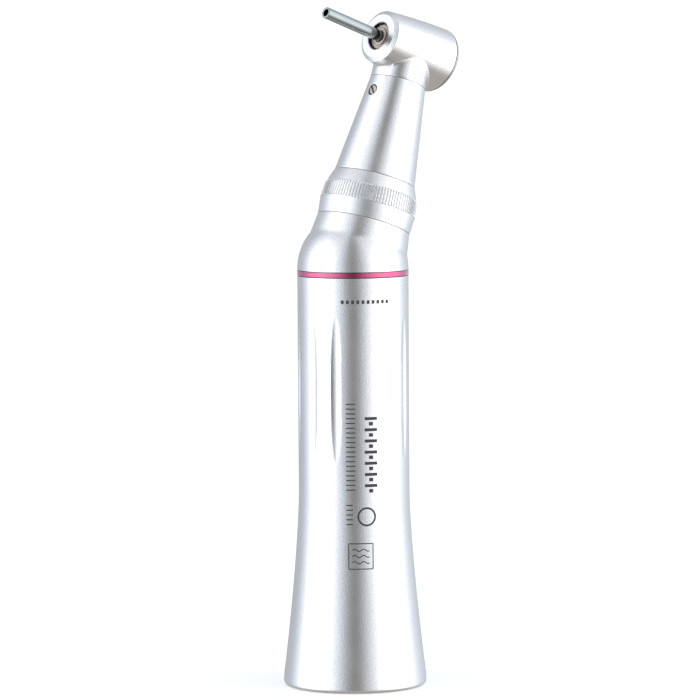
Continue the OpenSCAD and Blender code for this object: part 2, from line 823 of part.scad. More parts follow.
module head_cap() {
    color([0.62, 0.63, 0.65])
    on_head()
        difference() {
            union() {
                translate([0, 0, cap_back_t + 0.1])
                    cylinder(r = cap_skirt_r, h = cap_skirt_t - cap_back_t - 0.1);
                translate([0, 0, cap_back_t])
                    cylinder(r1 = cap_r - cap_slope, r2 = cap_r, h = cap_rim_h - 0.03);
            }
            translate([0, 0, rear_bearing_t]) cylinder(r = head_race_r, h = head_bearing_w + 1);
            translate([0, 0, cap_web_t - 1]) cylinder(r = head_race_r - head_race_wall, h = 2);
            translate([0, 0, cap_back_t - 1])
                cylinder(r = button_r + button_fit, h = cap_web_t - cap_back_t + 1);
        }
}

module head_outer_races() {
    color([0.78, 0.79, 0.80])
    for (t = [rear_bearing_t, front_bearing_t])
        on_head(t) outer_race(head_race_r, head_race_wall, head_bearing_w);
}

module head_balls() {
    color([0.88, 0.88, 0.90]) {
        on_head(front_bearing_t)
            ball_row(front_journal_r + head_race_wall, head_race_r - head_race_wall, 9, head_bearing_w);
        on_head(rear_bearing_t)
            ball_row(rear_inner_r, head_race_r - head_race_wall, 9, head_bearing_w);
    }
}

module preload_washer() {
    color([0.55, 0.56, 0.58])
    on_head(front_bearing_t + head_bearing_w) tube(head_race_r, head_race_r - head_race_wall, washer_h);
}

module spindle() {
    front_t = front_bearing_t + head_bearing_w;
    rear_t = rear_bearing_t - 0.25;
    step_t = -head_mesh * cos(spindle_cone) + 0.62;
    color([0.68, 0.69, 0.71])
    on_head()
        difference() {
            union() {
                translate([0, 0, rear_t]) cylinder(r = rear_journal_r, h = step_t - rear_t);
                translate([0, 0, step_t]) cylinder(r = spindle_r, h = front_bearing_t - step_t);
                translate([0, 0, front_bearing_t]) cylinder(r = front_journal_r, h = head_bearing_w);
            }
            translate([0, 0, tail_rear_t - 0.05]) cylinder(r = spindle_bore_r, h = front_t - tail_rear_t + 1);
            translate([0, 0, spring_rear_t]) cylinder(r = spring_bore_r, h = -spring_rear_t);
            translate([0, 0, rear_t - 1]) cylinder(r = rod_r + turn_fit, h = 2 - rear_t);
        }
}

module spindle_pinion() {
    far = head_mesh * cos(spindle_cone);
    near = (head_mesh - head_face) * cos(spindle_cone);
    root = spindle_cone - head_ded;
    color([0.74, 0.66, 0.48])
    on_head()
        difference() {
            union() {
                rotate([0, 0, 180 / spindle_teeth])
                    rotate([180, 0, 0])
                        translate([0, 0, near])
                            bevel_teeth(spindle_teeth, spindle_cone, head_add, head_ded,
                                near, far, tooth_share);
                translate([0, 0, -far - 0.2]) cylinder(r = near * tan(root) + 0.03, h = far + 0.3 - near);
            }
            translate([0, 0, -far - 1]) cylinder(r = rear_journal_r, h = far);
        }
}

module head_inner_races() {
    color([0.78, 0.79, 0.80]) {
        on_head(front_bearing_t) inner_race(front_journal_r, head_race_wall, head_bearing_w);
        on_head(rear_bearing_t)
            inner_race(rear_journal_r, rear_inner_r - rear_journal_r, head_bearing_w);
    }
}

// Stepped ring that closes the chuck's mouth round the tool
module chuck_nose() {
    back_t = front_bearing_t + head_bearing_w + slip;
    color([0.66, 0.58, 0.40])
    on_head(back_t)
        difference() {
            union() {
                cylinder(r = nose_r, h = 0.28);
                cylinder(r = nose_r - 0.5, h = shoulder_t + face_bevel - 0.14 - back_t);
            }
            translate([0, 0, -1]) cylinder(r = shank_r + 3 * slip, h = 3);
        }
}

// Slotted collet with the draw rod that the button pushes
module chuck_collet() {
    color([0.60, 0.61, 0.63])
    on_head()
        difference() {
            union() {
                translate([0, 0, tail_rear_t]) cylinder(r = collet_r, h = collet_front_t - tail_rear_t);
                translate([0, 0, rod_end_t]) cylinder(r = rod_r, h = tail_rear_t - rod_end_t + 0.1);
            }
            translate([0, 0, tail_front_t]) cylinder(r = collet_in_r, h = collet_front_t - tail_front_t + 1);
            for (a = [0:60:120])
                rotate([0, 0, a])
                    translate([-2, -0.1, tail_front_t + 1.4]) cube([4, 0.2, collet_front_t]);
        }
}

module chuck_spring() {
    color([0.75, 0.75, 0.78])
    on_head(spring_rear_t + 0.03)
        coil(0.585, 0.12, 4, tail_rear_t - spring_rear_t - 0.06);
}

// Push button: a shallow dome that slides in the cap
module push_button() {
    dome_r = (button_r * button_r + button_dome * button_dome) / 2 / button_dome;
    face_t = cap_back_t + 0.1;
    color([0.80, 0.80, 0.80])
    on_head()
        difference() {
            union() {
                translate([0, 0, face_t]) cylinder(r = button_r, h = button_t - face_t);
                intersection() {
                    translate([0, 0, face_t + dome_r - button_dome]) sphere(r = dome_r, $fn = 96);
                    translate([0, 0, face_t - button_dome]) cylinder(r = button_r, h = button_dome + 0.05);
                }
            }
            translate([0, 0, button_t - 0.28]) tube(button_r + 1, button_r - 0.14, 0.2);
        }
}

module button_seal() {
    color([0.12, 0.12, 0.13])
    on_head(button_t - 0.18) wire_ring(button_r - 0.045, 0.09);
}

// Flat wire ring of the button's return spring, pressed down on the cap's web
module button_spring() {
    wire = 0.06;
    color([0.75, 0.75, 0.78])
    on_head(cap_web_t - wire) wire_ring(head_race_r - 0.2, wire);
}

// Blank steel pin that is held in the chuck, hollow at its free end, with a turned line at the face
module test_pin() {
    line_t = shoulder_t + face_bevel + 0.04 - line_w;
    color([0.62, 0.62, 0.63])
    on_head()
        difference() {
            translate([0, 0, tool_in_t]) cylinder(r = shank_r, h = tool_reach - tool_in_t);
            translate([0, 0, tool_reach - tool_bore_depth])
                cylinder(r = tool_bore_d / 2, h = 2 * tool_bore_depth);
            translate([0, 0, line_t]) tube(shank_r + 1, shank_r - line_depth, line_w);
        }
}

handle_sheath();
colour_ring();
elbow_shell();
rear_insert();
motor_sleeve();
latch_ring();
rear_seal();
bearing_carrier();
shaft_outer_races();
shaft_balls();
race_spacer();
circlip();
main_shaft();
shaft_inner_races();
ring_gear();
drive_dog();
dog_spring();
neck_sleeve();
neck_shell();
sleeve_seal();
neck_outer_races();
neck_balls();
locking_collar();
neck_shaft();
neck_inner_races();
neck_pinion();
crown_gear();
head_shell();
head_screw();
head_cap();
head_outer_races();
head_balls();
preload_washer();
spindle();
spindle_pinion();
head_inner_races();
chuck_nose();
chuck_collet();
chuck_spring();
push_button();
button_seal();
button_spring();
test_pin();
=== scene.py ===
"""Looks of a dental contra-angle handpiece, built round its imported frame."""
import json
from math import acos, asin, atan2, cos, pi, radians, sin, sqrt, tan

import bmesh
import bpy
from mathutils import Matrix, Vector


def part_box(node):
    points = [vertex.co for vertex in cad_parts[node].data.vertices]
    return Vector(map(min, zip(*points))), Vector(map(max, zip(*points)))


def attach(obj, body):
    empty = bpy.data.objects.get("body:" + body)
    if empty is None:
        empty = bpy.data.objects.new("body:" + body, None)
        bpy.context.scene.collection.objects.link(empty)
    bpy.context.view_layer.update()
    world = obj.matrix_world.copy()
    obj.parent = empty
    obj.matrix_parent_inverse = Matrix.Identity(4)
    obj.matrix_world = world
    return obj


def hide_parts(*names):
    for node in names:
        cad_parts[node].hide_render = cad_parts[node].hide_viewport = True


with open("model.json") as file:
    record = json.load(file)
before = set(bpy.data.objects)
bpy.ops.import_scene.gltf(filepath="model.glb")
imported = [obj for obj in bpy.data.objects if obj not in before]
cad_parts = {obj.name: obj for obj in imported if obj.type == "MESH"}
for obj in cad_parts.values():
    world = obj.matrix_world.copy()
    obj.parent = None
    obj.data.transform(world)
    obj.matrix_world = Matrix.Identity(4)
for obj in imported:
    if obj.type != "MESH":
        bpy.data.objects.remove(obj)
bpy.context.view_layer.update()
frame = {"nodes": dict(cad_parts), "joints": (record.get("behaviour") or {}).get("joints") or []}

MM = 0.001
FULL_TURN = 2 * pi
VIEW_TURN = radians(229)
CREASE = radians(26)

# ---------------------------------------------------------------- places

joints = {joint["name"]: joint for joint in frame["joints"]}


def axes_at(origin, along):
    """Place whose local Z runs along a direction in the XZ plane, with Y as it is."""
    z = Vector(along).normalized()
    y = Vector((0, 1, 0))
    x = y.cross(z)
    turn = Matrix((x, y, z)).transposed().to_4x4()
    return Matrix.Translation(origin) @ turn


def bend_point(joint):
    """Where a leaning axis crosses the handle's axis."""
    along = Vector(joint["axis"])
    point = Vector(joint["pos_m"])
    return point - along * (point.x / along.x)


KNEE = bend_point(joints["collar_turn"])
NECK = axes_at(KNEE, joints["collar_turn"]["axis"])
HEAD = axes_at(joints["chuck_spin"]["pos_m"], joints["chuck_spin"]["axis"])
HEAD_S = (Vector(joints["chuck_spin"]["pos_m"]) - KNEE).length / MM


def reach(node, place):
    """Lowest and highest place of a CAD node along a place's Z, in mm."""
    back = place.inverted()
    heights = [(back @ v.co).z / MM for v in frame["nodes"][node].data.vertices]
    return min(heights), max(heights)


# ---------------------------------------------------------------- sizes, in mm

SHEATH_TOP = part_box("handle_sheath")[1].z / MM
RIM_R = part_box("handle_sheath")[1].x / MM
RING_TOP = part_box("colour_ring")[1].z / MM
RING_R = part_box("colour_ring")[1].x / MM
GRIP_R = RING_R - 0.04
SHEATH_BORE_R = 6.6
POCKET_R = 8.6
POCKET_H = 6.5
FLARE_H = 27
FLARE_POWER = 1.42
FLARE_OVER = 0.15
RIM_ROUND = 0.6

FLUTES = 13
FLUTE_START = radians(183)
PLAIN_PLACE = 2
FLUTE_MIDDLE = SHEATH_TOP - 15.5
FLUTE_LEN = 20
FLUTE_DEPTH = 0.2
FLUTE_CUTTER_R = 1.9

COLLAR_LOW, COLLAR_HIGH = reach("locking_collar", NECK)
COLLAR_SEAM_R = 6.57
BAND_TOP = COLLAR_LOW + 2.33
KNURL_TOP = BAND_TOP + 2.33
KNURL_R = 6.81
KNURL_TEETH = 96
SPIGOT_R = 5.4
SPIGOT_TOP = 10

NECK_LOW, SEAM = reach("neck_shell", NECK)
NECK_R = 5.75
NECK_TIP_R = 3.95
SCREW_S = SEAM - 2.3
SCREW_R = 0.8

CAP_LOW, CAP_SKIRT = reach("head_cap", HEAD)
CAP_SEAM = CAP_LOW + 0.65
FACE = reach("head_shell", HEAD)[1]
SHOULDER = FACE - 0.43
BARREL_FRONT_R = 3.74
BARREL_REAR_R = 4.63
BARREL_BULGE = 0.12
FACE_R = 3.14
FACE_HOLE_R = 2
BUTTON_R = 3.3
PIN_TIP = reach("test_pin", HEAD)[1]
PIN_END = reach("test_pin", HEAD)[0]
PIN_R = 0.8


# ---------------------------------------------------------------- shapes

def rounded(corners, steps=6):
    """Points of an outline through (radius, height, rounding) corners, each rounding an arc."""
    points = []
    count = len(corners)
    for i, (r, z, fillet) in enumerate(corners):
        here = Vector((r, z))
        if not fillet:
            points.append(here)
            continue
        back = (Vector(corners[i - 1][:2]) - here).normalized()
        on = (Vector(corners[(i + 1) % count][:2]) - here).normalized()
        half = back.angle(on) / 2
        centre = here + (back + on).normalized() * fillet / sin(half)
        spoke = here + back * fillet / tan(half) - centre
        sweep = spoke.angle_signed(here + on * fillet / tan(half) - centre)
        for k in range(steps + 1):
            turn = Matrix.Rotation(-sweep * k / steps, 2)
            points.append(centre + turn @ spoke)
    return points


def stretch(start, end, step):
    """Heights from start to end in even steps of about the given size."""
    count = max(1, round(abs(end - start) / step))
    return [start + (end - start) * k / count for k in range(count + 1)]


def turned(points, columns=128):
    """Solid turned about Z from (radius, height) points in mm. It is closed through the axis or round a bore."""
    bm = bmesh.new()
    verts = [bm.verts.new((r * MM, 0, z * MM)) for r, z in points]
    pairs = list(zip(verts, verts[1:]))
    if min(r for r, z in points) > 0:
        pairs.append((verts[-1], verts[0]))
    edges = [bm.edges.new(pair) for pair in pairs]
    bmesh.ops.spin(bm, geom=verts + edges, axis=(0, 0, 1), cent=(0, 0, 0), angle=FULL_TURN,
                   steps=columns, use_merge=True, use_duplicate=False)
    bmesh.ops.remove_doubles(bm, verts=bm.verts, dist=2e-7)
    bmesh.ops.dissolve_degenerate(bm, edges=bm.edges, dist=1e-8)
    bmesh.ops.recalc_face_normals(bm, faces=bm.faces)
    return bm


def moved(bm, place):
    bmesh.ops.transform(bm, matrix=place, verts=bm.verts)
    return bm


def shade(bm, crease=CREASE):
    """Smooth faces, with sharp edges where the surface turns by more than the crease angle."""
    for face in bm.faces:
        face.smooth = True
    for edge in bm.edges:
        if len(edge.link_faces) == 2 and edge.calc_face_angle() > crease:
            edge.smooth = False


def as_object(bm, name):
    mesh = bpy.data.meshes.new(name)
    bm.to_mesh(mesh)
    bm.free()
    piece = bpy.data.objects.new(name, mesh)
    bpy.context.scene.collection.objects.link(piece)
    return piece


def carved(bm, *steps):
    """The solid after a row of (operation, other solid) Booleans."""
    piece = as_object(bm, "blank")
    for operation, other in steps:
        tool = as_object(other, "tool")
        cut = piece.modifiers.new("cut", "BOOLEAN")
        cut.operation = operation
        cut.solver = "EXACT"
        cut.object = tool
        shown = piece.evaluated_get(bpy.context.evaluated_depsgraph_get())
        done = bpy.data.meshes.new_from_object(shown)
        piece.modifiers.clear()
        piece.data = done
        bpy.data.objects.remove(tool)
    out = bmesh.new()
    out.from_mesh(piece.data)
    bpy.data.objects.remove(piece)
    bmesh.ops.remove_doubles(out, verts=out.verts, dist=1e-6)
    bmesh.ops.dissolve_degenerate(out, edges=out.edges, dist=1e-7)
    return out


def line_with_painted_shade(bm, place, r, low, high):
    """Gives the faces inside a radius round a place's Z, between two heights, the piece's second material: the
    near-black lining that paints shade into grooves, gaps and bores.
    """
    back = place.inverted()
    for face in bm.faces:
        at = back @ face.calc_center_median() / MM
        if at.xy.length < r and low < at.z < high:
            face.material_index = 1


def add_piece(name, bm, body, slot, materials, *stands_for):
    """Finishes a solid as a piece of the model that rides on a body."""
    shade(bm)
    piece = as_object(bm, name)
    for material in materials if isinstance(materials, tuple) else (materials,):
        piece.data.materials.append(material)
    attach(piece, body)
    if stands_for:
        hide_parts(*stands_for)
    return piece


# ---------------------------------------------------------------- finishes

def group(name, inputs, outputs):
    """Empty shader node group with named float inputs and named outputs."""
    tree = bpy.data.node_groups.new(name, "ShaderNodeTree")
    for label, value in inputs.items():
        socket = tree.interface.new_socket(name=label, in_out="INPUT", socket_type="NodeSocketFloat")
        socket.default_value = value
    for label, kind in outputs.items():
        tree.interface.new_socket(name=label, in_out="OUTPUT", socket_type=kind)
    return tree, tree.nodes.new("NodeGroupInput"), tree.nodes.new("NodeGroupOutput")


def node(tree, kind, links=None, **settings):
    """Adds a node. links maps its input names or numbers to sockets or plain values."""
    made = tree.nodes.new(kind)
    for key, value in settings.items():
        setattr(made, key, value)
    for key, value in (links or {}).items():
        if isinstance(value, bpy.types.NodeSocket):
            tree.links.new(value, made.inputs[key])
        else:
            made.inputs[key].default_value = value
    return made


def math_node(tree, operation, *values, clamp=False):
    return node(tree, "ShaderNodeMath", dict(enumerate(values)), operation=operation, use_clamp=clamp).outputs[0]


def blast_grain():
    """Fine even pits of bead blasting: a height and a mask of the pits."""
    tree, given, out = group("blast_grain", {"Size": 0.1, "Spread": 0.5},
                             {"Height": "NodeSocketFloat", "Pits": "NodeSocketFloat"})
    at = node(tree, "ShaderNodeTexCoord").outputs["Object"]
    scale = math_node(tree, "DIVIDE", 1000.0, given.outputs["Size"])
    fine = node(tree, "ShaderNodeTexNoise", {"Vector": at, "Scale": scale, "Detail": 2.0, "Roughness": 0.6})
    cells = node(tree, "ShaderNodeTexVoronoi", {"Vector": at, "Scale": scale})
    height = math_node(tree, "MULTIPLY_ADD", fine.outputs["Fac"], 0.7, cells.outputs["Distance"])
    low = math_node(tree, "SUBTRACT", 0.5, math_node(tree, "MULTIPLY", given.outputs["Spread"], 0.5))
    high = math_node(tree, "ADD", 0.5, math_node(tree, "MULTIPLY", given.outputs["Spread"], 0.5))
    pits = node(tree, "ShaderNodeMapRange", {"Value": fine.outputs["Fac"], "From Min": low, "From Max": high})
    tree.links.new(height, out.inputs["Height"])
    tree.links.new(pits.outputs["Result"], out.inputs["Pits"])
    return tree


def wear_and_edge_sheen():
    """Soft cloudy mask of polish from handling, and a broken mask on edges that stand out, used both for edge wear and
    for a painted highlight on those edges.
    """
    tree, given, out = group("wear_and_edge_sheen", {"Size": 6.0, "Edges": 0.5},
                             {"Cloud": "NodeSocketFloat", "Edge": "NodeSocketFloat"})
    at = node(tree, "ShaderNodeTexCoord").outputs["Object"]
    scale = math_node(tree, "DIVIDE", 1000.0, given.outputs["Size"])
    cloud = node(tree, "ShaderNodeTexNoise", {"Vector": at, "Scale": scale, "Detail": 4.0, "Roughness": 0.55})
    chips = node(tree, "ShaderNodeTexNoise", {"Vector": at, "Scale": 2500.0, "Detail": 3.0})
    point = node(tree, "ShaderNodeNewGeometry").outputs["Pointiness"]
    rise = node(tree, "ShaderNodeMapRange", {"Value": point, "From Min": 0.515, "From Max": 0.6})
    broken = math_node(tree, "MULTIPLY", rise.outputs["Result"], chips.outputs["Fac"])
    edge = math_node(tree, "MULTIPLY", broken, given.outputs["Edges"], clamp=True)
    tree.links.new(cloud.outputs["Fac"], out.inputs["Cloud"])
    tree.links.new(edge, out.inputs["Edge"])
    return tree


BLAST = blast_grain()
WEAR_AND_EDGE_SHEEN = wear_and_edge_sheen()


def finish(name):
    """New material with a Principled shader, as its tree and the shader node."""
    material = bpy.data.materials.new(name)
    material.use_nodes = True
    tree = material.node_tree
    return material, tree, tree.nodes["Principled BSDF"]


def mixed(tree, mask, first, second):
    """Colour that goes from first to second with a mask."""
    mix = node(tree, "ShaderNodeMix", data_type="RGBA")
    tree.links.new(mask, mix.inputs["Factor"])
    mix.inputs["A"].default_value = (*first, 1)
    mix.inputs["B"].default_value = (*second, 1)
    return mix.outputs["Result"]


def ranged(tree, value, low, high, from_low=0.0, from_high=1.0):
    links = {"Value": value, "From Min": from_low, "From Max": from_high, "To Min": low, "To Max": high}
    return node(tree, "ShaderNodeMapRange", links).outputs["Result"]


def satin_steel(name, dark, light, roughness, grain=0.1, bump=0.35):
    """Bead-blasted metal: pitted grain, cloudy polish, and edges painted brighter, partly as wear and partly as a
    painted highlight.
    """
    material, tree, shader = finish(name)
    pits = node(tree, "ShaderNodeGroup", node_tree=BLAST)
    pits.inputs["Size"].default_value = grain
    wear_and_sheen = node(tree, "ShaderNodeGroup", node_tree=WEAR_AND_EDGE_SHEEN)
    speckle = mixed(tree, pits.outputs["Pits"], dark, light)
    # Edges lighten towards near-white: partly edge wear, partly a painted highlight for the light that rounded edges
    # catch.
    worn_and_sheen_tint = node(tree, "ShaderNodeMix", data_type="RGBA")
    tree.links.new(wear_and_sheen.outputs["Edge"], worn_and_sheen_tint.inputs["Factor"])
    tree.links.new(speckle, worn_and_sheen_tint.inputs["A"])
    worn_and_sheen_tint.inputs["B"].default_value = (0.92, 0.92, 0.93, 1)
    tree.links.new(worn_and_sheen_tint.outputs["Result"], shader.inputs["Base Color"])
    cloud = ranged(tree, wear_and_sheen.outputs["Cloud"], roughness - 0.03, roughness + 0.04, 0.3, 0.7)
    speck = ranged(tree, pits.outputs["Pits"], 0.04, -0.04)
    rough = math_node(tree, "ADD", cloud, speck)
    polished = math_node(tree, "MULTIPLY", wear_and_sheen.outputs["Edge"], -0.1)
    tree.links.new(math_node(tree, "ADD", rough, polished), shader.inputs["Roughness"])
    relief = node(tree, "ShaderNodeBump", {"Height": pits.outputs["Height"], "Strength": bump, "Distance": 0.00001})
    tree.links.new(relief.outputs["Normal"], shader.inputs["Normal"])
    shader.inputs["Metallic"].default_value = 1
    return material


def turned_metal(name, dark, light, roughness, size=0.25, bump=0.12):
    """Machined metal: fine streaks in the base colour and the gloss."""
    material, tree, shader = finish(name)
    pits = node(tree, "ShaderNodeGroup", node_tree=BLAST)
    pits.inputs["Size"].default_value = size
    wear_and_sheen = node(tree, "ShaderNodeGroup", node_tree=WEAR_AND_EDGE_SHEEN)
    wear_and_sheen.inputs["Size"].default_value = 1.5
    tree.links.new(mixed(tree, wear_and_sheen.outputs["Cloud"], dark, light), shader.inputs["Base Color"])
    rough = ranged(tree, pits.outputs["Pits"], roughness + 0.05, roughness - 0.05)
    tree.links.new(rough, shader.inputs["Roughness"])
    relief = node(tree, "ShaderNodeBump", {"Height": pits.outputs["Height"], "Strength": bump, "Distance": 0.00001})
    tree.links.new(relief.outputs["Normal"], shader.inputs["Normal"])
    shader.inputs["Metallic"].default_value = 1
    return material


def anodised_pink():
    """Dyed anodised aluminium under its clear oxide."""
    material, tree, shader = finish("anodised_pink")
    pits = node(tree, "ShaderNodeGroup", node_tree=BLAST)
    pits.inputs["Size"].default_value = 0.16
    dye = mixed(tree, pits.outputs["Pits"], (0.54, 0.045, 0.165), (0.62, 0.065, 0.205))
    tree.links.new(dye, shader.inputs["Base Color"])
    tree.links.new(ranged(tree, pits.outputs["Pits"], 0.2, 0.13), shader.inputs["Roughness"])
    relief = node(tree, "ShaderNodeBump", {"Height": pits.outputs["Height"], "Strength": 0.05, "Distance": 0.00001})
    tree.links.new(relief.outputs["Normal"], shader.inputs["Normal"])
    shader.inputs["Metallic"].default_value = 1
    shader.inputs["Coat Weight"].default_value = 1
    shader.inputs["Coat Roughness"].default_value = 0.12
    shader.inputs["Coat IOR"].default_value = 1.7
    return material


def moulded_rubber():
    material, tree, shader = finish("moulded_rubber")
    pits = node(tree, "ShaderNodeGroup", node_tree=BLAST)
    pits.inputs["Size"].default_value = 0.2
    tree.links.new(mixed(tree, pits.outputs["Pits"], (0.012, 0.012, 0.013), (0.022, 0.022, 0.024)),
                   shader.inputs["Base Color"])
    tree.links.new(ranged(tree, pits.outputs["Pits"], 0.62, 0.5), shader.inputs["Roughness"])
    relief = node(tree, "ShaderNodeBump", {"Height": pits.outputs["Height"], "Strength": 0.2, "Distance": 0.00001})
    tree.links.new(relief.outputs["Normal"], shader.inputs["Normal"])
    return material


SHELL = satin_steel("satin_shell", (0.7, 0.695, 0.69), (0.86, 0.86, 0.87), 0.27, 0.22, 0.6)
COLLAR = satin_steel("satin_collar", (0.7, 0.7, 0.7), (0.88, 0.88, 0.885), 0.33, 0.2, 0.5)
PINK = anodised_pink()
RIM = turned_metal("polished_rim", (0.6, 0.6, 0.61), (0.68, 0.68, 0.69), 0.14)
STEEL = turned_metal("turned_steel", (0.5, 0.51, 0.52), (0.62, 0.63, 0.64), 0.26)
RACE = turned_metal("bearing_steel", (0.68, 0.69, 0.7), (0.78, 0.79, 0.8), 0.12)
BRONZE = turned_metal("gear_bronze", (0.5, 0.36, 0.16), (0.62, 0.47, 0.24), 0.26)
BRASS = turned_metal("brass_screw", (0.3, 0.255, 0.2), (0.52, 0.47, 0.4), 0.24)
SPRING = turned_metal("spring_steel", (0.55, 0.55, 0.57), (0.66, 0.66, 0.69), 0.2)
RUBBER = moulded_rubber()
PIN = turned_metal("pin_steel", (0.3, 0.34, 0.345), (0.37, 0.41, 0.415), 0.17, 0.4, 0.02)
CHAMPAGNE = turned_metal("champagne_steel", (0.36, 0.31, 0.27), (0.5, 0.45, 0.41), 0.3, 0.3, 0.05)
INK = turned_metal("printed_ink", (0.03, 0.03, 0.032), (0.05, 0.05, 0.052), 0.6)
INK.node_tree.nodes["Principled BSDF"].inputs["Metallic"].default_value = 0
# Near-black lining for grooves, gaps and bore walls: painted shade where little light reaches.
PAINTED_SHADE_LINING = turned_metal("painted_shade_lining", (0.03, 0.027, 0.025), (0.075, 0.065, 0.06), 0.4)


# ---------------------------------------------------------------- handle

def flare_r(z):
    """Radius of the sheath's outside at a height above the rim."""
    if z >= FLARE_H:
        return GRIP_R
    return min(RIM_R, GRIP_R + (RIM_R - GRIP_R + FLARE_OVER) * (1 - z / FLARE_H) ** FLARE_POWER)


def flute_depth(z):
    swing_r = FLUTE_LEN ** 2 / 8 / FLUTE_DEPTH
    return FLUTE_DEPTH - (z - FLUTE_MIDDLE) ** 2 / 2 / swing_r


def flute_half_width(z):
    """Half of a flute's width where its cutter leaves the grip, and the cutter's centre."""
    centre = GRIP_R - flute_depth(z) + FLUTE_CUTTER_R
    x = (GRIP_R ** 2 - FLUTE_CUTTER_R ** 2 + centre ** 2) / 2 / centre
    return sqrt(max(0, GRIP_R ** 2 - x ** 2)), centre


SECTOR_COLUMNS = 24
FLUTE_COLUMNS = 6
TIP_WIDTH = 0.03
TIP_SPREAD = 4


def cut_flutes(bm):
    """Draws the grip's columns together at each flute and sinks the ones inside it."""
    sector = FULL_TURN / FLUTES
    column = sector / SECTOR_COLUMNS
    even = GRIP_R * sin(FLUTE_COLUMNS * column)
    half_len = FLUTE_LEN / 2
    rest = SECTOR_COLUMNS / 2 - FLUTE_COLUMNS
    for v in bm.verts:
        r, z = v.co.xy.length / MM, v.co.z / MM
        past = abs(z - FLUTE_MIDDLE) - half_len
        if abs(r - GRIP_R) > 0.001 or past > TIP_SPREAD:
            continue
        angle = (atan2(v.co.y, v.co.x) - FLUTE_START) % FULL_TURN
        place = round(angle / sector) % FLUTES
        k = round((angle - round(angle / sector) * sector) / column)
        if place == PLAIN_PLACE:
            continue
        width, centre = flute_half_width(z) if past < 0 else (0, 0)
        width = max(width, TIP_WIDTH)
        if past > 0:
            ease = (1 - cos(pi * past / TIP_SPREAD)) / 2
            width = TIP_WIDTH + (even - TIP_WIDTH) * ease
        edge = asin(width / GRIP_R)
        if abs(k) <= FLUTE_COLUMNS:
            y = width * k / FLUTE_COLUMNS
            x = sqrt(GRIP_R ** 2 - y ** 2)
            if past < 0 and abs(k) < FLUTE_COLUMNS:
                x = min(x, centre - sqrt(FLUTE_CUTTER_R ** 2 - y ** 2))
        else:
            side = 1 if k > 0 else -1
            turn = edge + (sector / 2 - edge) * (abs(k) - FLUTE_COLUMNS) / rest
            x, y = GRIP_R * cos(turn), GRIP_R * sin(turn) * side
        spoke = Matrix.Rotation(FLUTE_START + place * sector, 2) @ Vector((x, y))
        v.co.x, v.co.y = spoke.x * MM, spoke.y * MM


def make_handle_sheath():
    flare = [(flare_r(z), z) for z in stretch(RIM_ROUND + 0.2, FLARE_H, 0.8)]
    grip = [(GRIP_R, z) for z in stretch(FLARE_H, SHEATH_TOP - 0.3, 0.35)[1:]]
    rim = rounded([(POCKET_R, 0, 0.15), (RIM_R, 0, RIM_ROUND), (RIM_R, 3, 0)])[:-1]
    inside = rounded([(RIM_R, 3, 0), (GRIP_R, SHEATH_TOP, 0.06), (SHEATH_BORE_R, SHEATH_TOP, 0.05),
                      (SHEATH_BORE_R, POCKET_H, 0), (POCKET_R, POCKET_H, 0)])[1:]
    bm = turned(rim + flare + grip + inside, FLUTES * SECTOR_COLUMNS)
    bmesh.ops.rotate(bm, verts=bm.verts, cent=(0, 0, 0), matrix=Matrix.Rotation(FLUTE_START, 3, "Z"))
    cut_flutes(bm)
    bmesh.ops.recalc_face_normals(bm, faces=bm.faces)
    add_piece("grip_sheath", bm, "handle", "satin_shell", SHELL, "handle_sheath")


def make_colour_ring():
    low, high = SHEATH_TOP, RING_TOP
    groove_r, groove_w = RING_R - 0.12, 0.09
    points = rounded([
        (SHEATH_BORE_R, low, 0), (groove_r, low, 0), (groove_r, low + groove_w, 0),
        (RING_R, low + groove_w, 0.04), (RING_R, high - groove_w, 0.04), (groove_r, high - groove_w, 0),
        (groove_r, high, 0), (SHEATH_BORE_R, high, 0)])
    bm = turned(points, 192)
    # Both grooves get the near-black lining: painted shade that draws the ring's dark outlines.
    line_with_painted_shade(bm, Matrix.Identity(4), groove_r + 0.01, low - 0.01, low + groove_w + 0.01)
    line_with_painted_shade(bm, Matrix.Identity(4), groove_r + 0.01, high - groove_w - 0.01, high + 0.01)
    add_piece("pink_speed_ring", bm, "handle", "pink_ring", (PINK, PAINTED_SHADE_LINING), "colour_ring")


MARK_HIGH = 0.015
MARK_DEEP = 0.03
MARK_STEP = 0.35


def mark_spot(girth, z, lift=0.0):
    """Point on the handle, girth in mm to the right of the camera's side, height in mm."""
    r = flare_r(z)
    turn = VIEW_TURN + girth / r
    return Vector((cos(turn) * (r + lift) * MM, sin(turn) * (r + lift) * MM, z * MM))


def add_stroke(bm, points, width):
    """One printed stroke along (girth, height) points, as a thin closed strip that follows the surface."""
    fine = [points[0]]
    for start, end in zip(points, points[1:]):
        count = max(1, round((Vector(end) - Vector(start)).length / MARK_STEP))
        fine += [tuple(Vector(start).lerp(Vector(end), k / count)) for k in range(1, count + 1)]
    closed = (Vector(fine[0]) - Vector(fine[-1])).length < 0.01
    sides = []
    for k, here in enumerate(fine):
        before = Vector(fine[k - 1] if k or not closed else fine[-2])
        after = Vector(fine[k + 1] if k + 1 < len(fine) else fine[1] if closed else here)
        if not k and not closed:
            before = Vector(here)
        out = (after - before).orthogonal().normalized() * width / 2
        sides.append([mark_spot(*(Vector(here) + out * side), lift) for side in (1, -1)
                      for lift in (MARK_HIGH, -MARK_DEEP)])
    if closed:
        sides.pop()
    rows = [[bm.verts.new(at) for at in (a, c, d, b)] for a, b, c, d in sides]
    pairs = list(zip(rows, rows[1:])) + ([(rows[-1], rows[0])] if closed else [])
    for here, there in pairs:
        for k in range(4):
            bm.faces.new((here[k], there[k], there[(k + 1) % 4], here[(k + 1) % 4]))
    if not closed:
        bm.faces.new(rows[0])
        bm.faces.new(list(reversed(rows[-1])))


